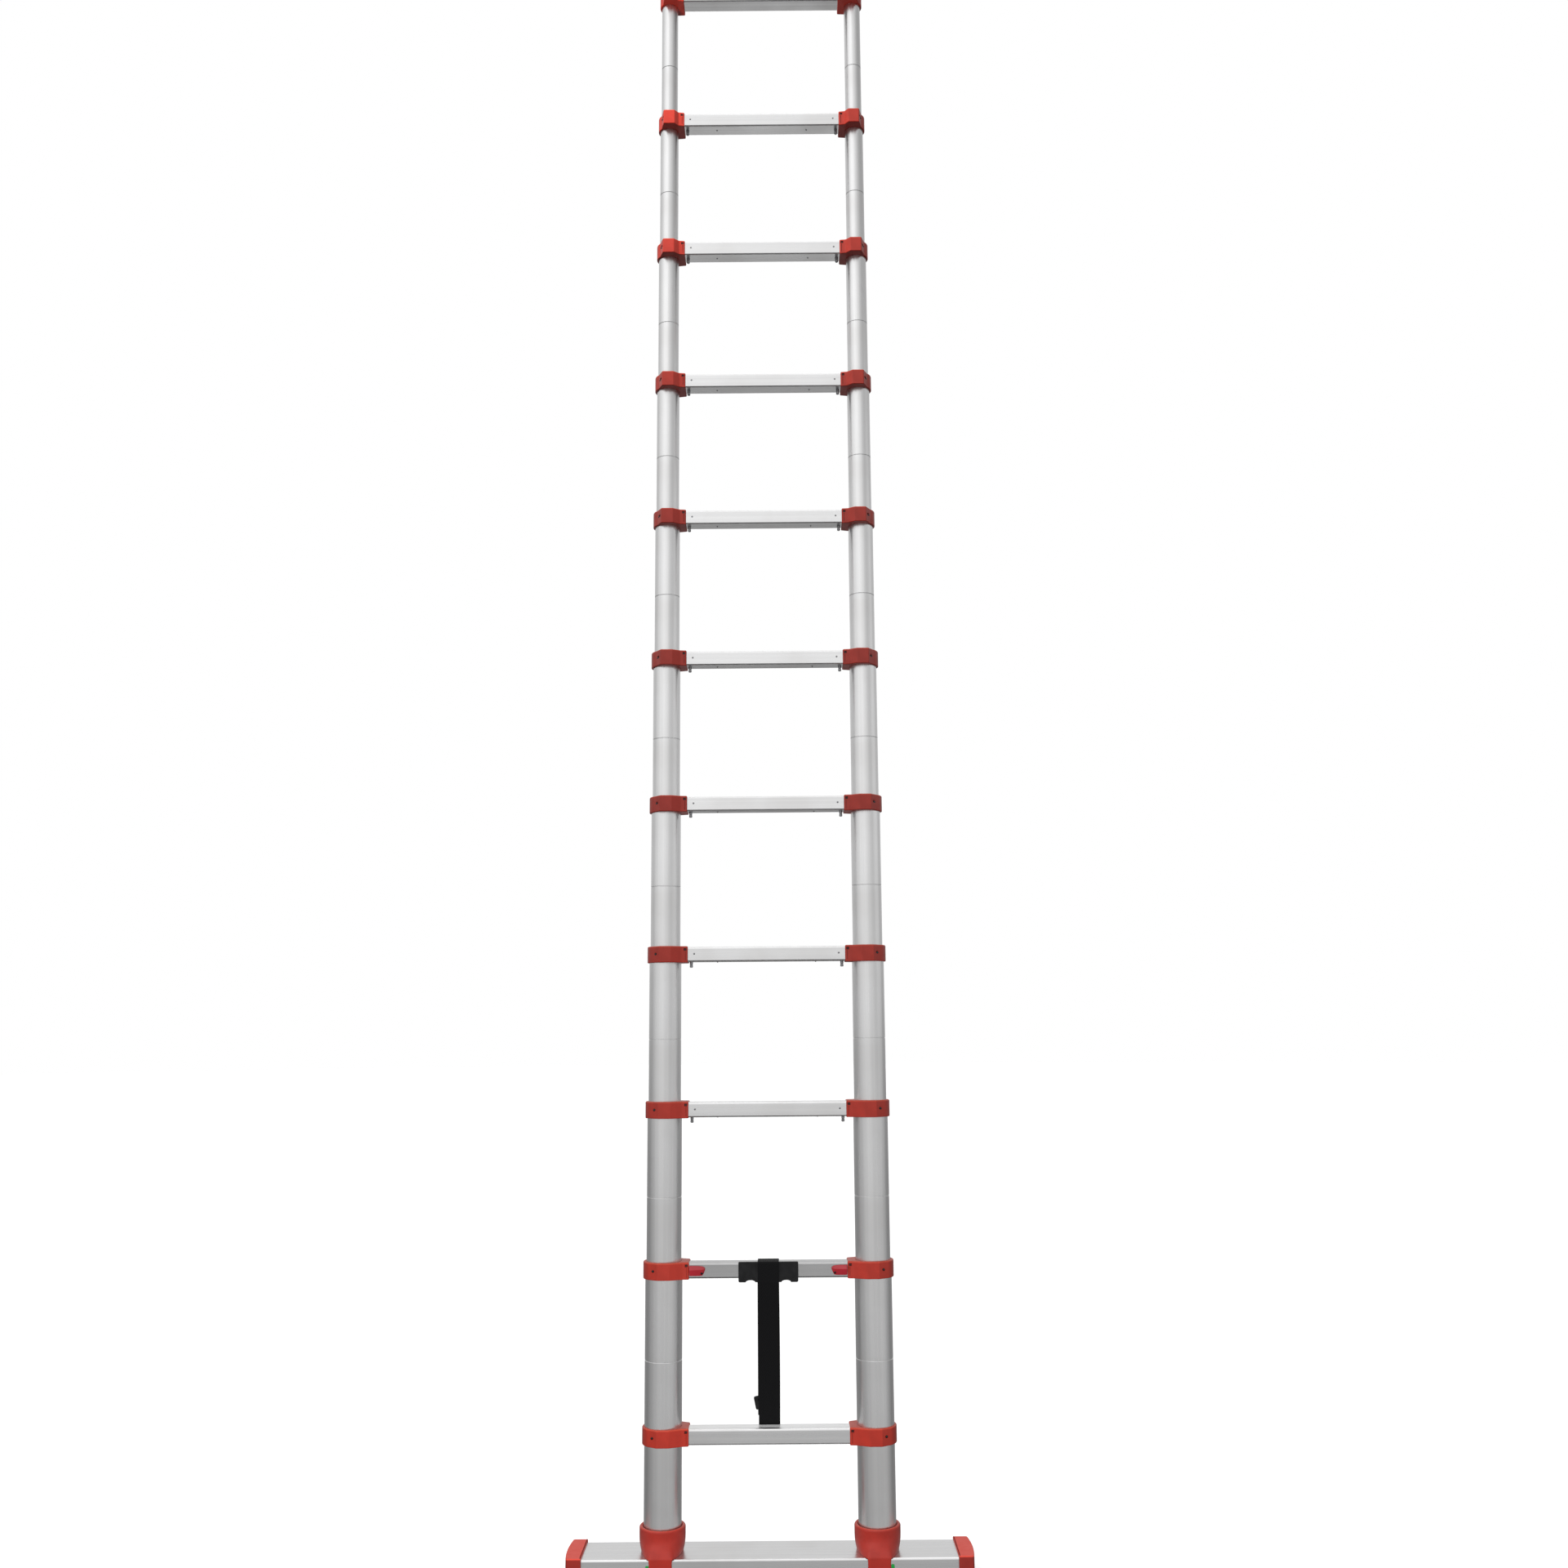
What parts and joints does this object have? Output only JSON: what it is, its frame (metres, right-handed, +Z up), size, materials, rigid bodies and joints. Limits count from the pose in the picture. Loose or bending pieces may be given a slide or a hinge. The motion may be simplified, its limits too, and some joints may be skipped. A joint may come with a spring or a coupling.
{
  "type": "telescopic extension ladder",
  "caption": "Telescopic ladder of nested aluminium tubes, with hollow rungs in red collars, release pins, thumb sliders, a strap and a wide stabiliser bar.",
  "frame": {"origin": "on the floor, below the middle of the stabiliser bar", "axes": "+X to the ladder's right as its user faces it, -Y out of its front, towards the user, +Z up along the stiles"},
  "size_m": [0.754, 0.1086, 3.2715],
  "materials": {
    "anodised_aluminium": "satin anodised, drawn lengthwise",
    "red_plastic": "fine moulded texture",
    "slider_plastic": "smooth moulded",
    "pin_steel": "zinc plated",
    "foot_rubber": "matt, slightly textured",
    "black_webbing": "woven polyester",
    "black_plastic": "fine moulded texture"
  },
  "bodies": {
    "base": {"stile_1_left": "anodised_aluminium", "stile_1_right": "anodised_aluminium", "rung_1": "anodised_aluminium", "collars_1": "red_plastic", "rung_2": "anodised_aluminium", "collars_2": "red_plastic", "stabiliser_bar": "anodised_aluminium", "bar_foot_left": "foot_rubber", "bar_foot_right": "foot_rubber", "foot_socket_left": "red_plastic", "foot_socket_right": "red_plastic", "strap": "black_webbing", "strap_grip": "black_plastic", "strap_buckle": "black_plastic"},
    "section_2": {"stile_2_left": "anodised_aluminium", "stile_2_right": "anodised_aluminium", "rung_3": "anodised_aluminium", "collars_3": "red_plastic"},
    "section_3": {"stile_3_left": "anodised_aluminium", "stile_3_right": "anodised_aluminium", "rung_4": "anodised_aluminium", "collars_4": "red_plastic"},
    "section_4": {"stile_4_left": "anodised_aluminium", "stile_4_right": "anodised_aluminium", "rung_5": "anodised_aluminium", "collars_5": "red_plastic"},
    "section_5": {"stile_5_left": "anodised_aluminium", "stile_5_right": "anodised_aluminium", "rung_6": "anodised_aluminium", "collars_6": "red_plastic"},
    "section_6": {"stile_6_left": "anodised_aluminium", "stile_6_right": "anodised_aluminium", "rung_7": "anodised_aluminium", "collars_7": "red_plastic"},
    "section_7": {"stile_7_left": "anodised_aluminium", "stile_7_right": "anodised_aluminium", "rung_8": "anodised_aluminium", "collars_8": "red_plastic"},
    "section_8": {"stile_8_left": "anodised_aluminium", "stile_8_right": "anodised_aluminium", "rung_9": "anodised_aluminium", "collars_9": "red_plastic"},
    "section_9": {"stile_9_left": "anodised_aluminium", "stile_9_right": "anodised_aluminium", "rung_10": "anodised_aluminium", "collars_10": "red_plastic"},
    "section_10": {"stile_10_left": "anodised_aluminium", "stile_10_right": "anodised_aluminium", "rung_11": "anodised_aluminium", "collars_11": "red_plastic"},
    "release_pins_3_body": {"release_pins_3": "pin_steel"},
    "release_pins_4_body": {"release_pins_4": "pin_steel"},
    "release_pins_5_body": {"release_pins_5": "pin_steel"},
    "release_pins_6_body": {"release_pins_6": "pin_steel"},
    "release_pins_7_body": {"release_pins_7": "pin_steel"},
    "release_pins_8_body": {"release_pins_8": "pin_steel"},
    "release_pins_9_body": {"release_pins_9": "pin_steel"},
    "release_pins_10_body": {"release_pins_10": "pin_steel"},
    "thumb_slider_left_body": {"thumb_slider_left": "slider_plastic"},
    "thumb_slider_right_body": {"thumb_slider_right": "slider_plastic"}
  },
  "joints": [
    {"name": "section_2_slide", "type": "slide", "parent": "base", "child": "section_2", "axis": [0, 0, -1], "range_m": [0, 0.267]},
    {"name": "section_3_slide", "type": "slide", "parent": "section_2", "child": "section_3", "axis": [0, 0, -1], "range_m": [0, 0.267]},
    {"name": "section_4_slide", "type": "slide", "parent": "section_3", "child": "section_4", "axis": [0, 0, -1], "range_m": [0, 0.267]},
    {"name": "section_5_slide", "type": "slide", "parent": "section_4", "child": "section_5", "axis": [0, 0, -1], "range_m": [0, 0.267]},
    {"name": "section_6_slide", "type": "slide", "parent": "section_5", "child": "section_6", "axis": [0, 0, -1], "range_m": [0, 0.267]},
    {"name": "section_7_slide", "type": "slide", "parent": "section_6", "child": "section_7", "axis": [0, 0, -1], "range_m": [0, 0.267]},
    {"name": "section_8_slide", "type": "slide", "parent": "section_7", "child": "section_8", "axis": [0, 0, -1], "range_m": [0, 0.267]},
    {"name": "section_9_slide", "type": "slide", "parent": "section_8", "child": "section_9", "axis": [0, 0, -1], "range_m": [0, 0.267]},
    {"name": "section_10_slide", "type": "slide", "parent": "section_9", "child": "section_10", "axis": [0, 0, -1], "range_m": [0, 0.267]},
    {"name": "release_pins_3_slide", "type": "slide", "parent": "section_2", "child": "release_pins_3_body", "axis": [0, 0, 1], "range_m": [0, 0.01]},
    {"name": "release_pins_4_slide", "type": "slide", "parent": "section_3", "child": "release_pins_4_body", "axis": [0, 0, 1], "range_m": [0, 0.01]},
    {"name": "release_pins_5_slide", "type": "slide", "parent": "section_4", "child": "release_pins_5_body", "axis": [0, 0, 1], "range_m": [0, 0.01]},
    {"name": "release_pins_6_slide", "type": "slide", "parent": "section_5", "child": "release_pins_6_body", "axis": [0, 0, 1], "range_m": [0, 0.01]},
    {"name": "release_pins_7_slide", "type": "slide", "parent": "section_6", "child": "release_pins_7_body", "axis": [0, 0, 1], "range_m": [0, 0.01]},
    {"name": "release_pins_8_slide", "type": "slide", "parent": "section_7", "child": "release_pins_8_body", "axis": [0, 0, 1], "range_m": [0, 0.01]},
    {"name": "release_pins_9_slide", "type": "slide", "parent": "section_8", "child": "release_pins_9_body", "axis": [0, 0, 1], "range_m": [0, 0.01]},
    {"name": "release_pins_10_slide", "type": "slide", "parent": "section_9", "child": "release_pins_10_body", "axis": [0, 0, 1], "range_m": [0, 0.01]},
    {"name": "thumb_slider_left_slide", "type": "slide", "parent": "base", "child": "thumb_slider_left_body", "axis": [1, 0, 0], "range_m": [0, 0.008], "stiffness_N_per_m": 150, "springref_m": -0.01},
    {"name": "thumb_slider_right_slide", "type": "slide", "parent": "base", "child": "thumb_slider_right_body", "axis": [-1, 0, 0], "range_m": [0, 0.008], "stiffness_N_per_m": 150, "springref_m": -0.01}
  ],
  "couplings": [
    {"joint": "release_pins_3_slide", "follows": "section_2_slide", "ratio": 0.0356},
    {"joint": "release_pins_4_slide", "follows": "section_3_slide", "ratio": 0.0356},
    {"joint": "release_pins_5_slide", "follows": "section_4_slide", "ratio": 0.0356},
    {"joint": "release_pins_6_slide", "follows": "section_5_slide", "ratio": 0.0356},
    {"joint": "release_pins_7_slide", "follows": "section_6_slide", "ratio": 0.0356},
    {"joint": "release_pins_8_slide", "follows": "section_7_slide", "ratio": 0.0356},
    {"joint": "release_pins_9_slide", "follows": "section_8_slide", "ratio": 0.0356},
    {"joint": "release_pins_10_slide", "follows": "section_9_slide", "ratio": 0.0356}
  ]
}
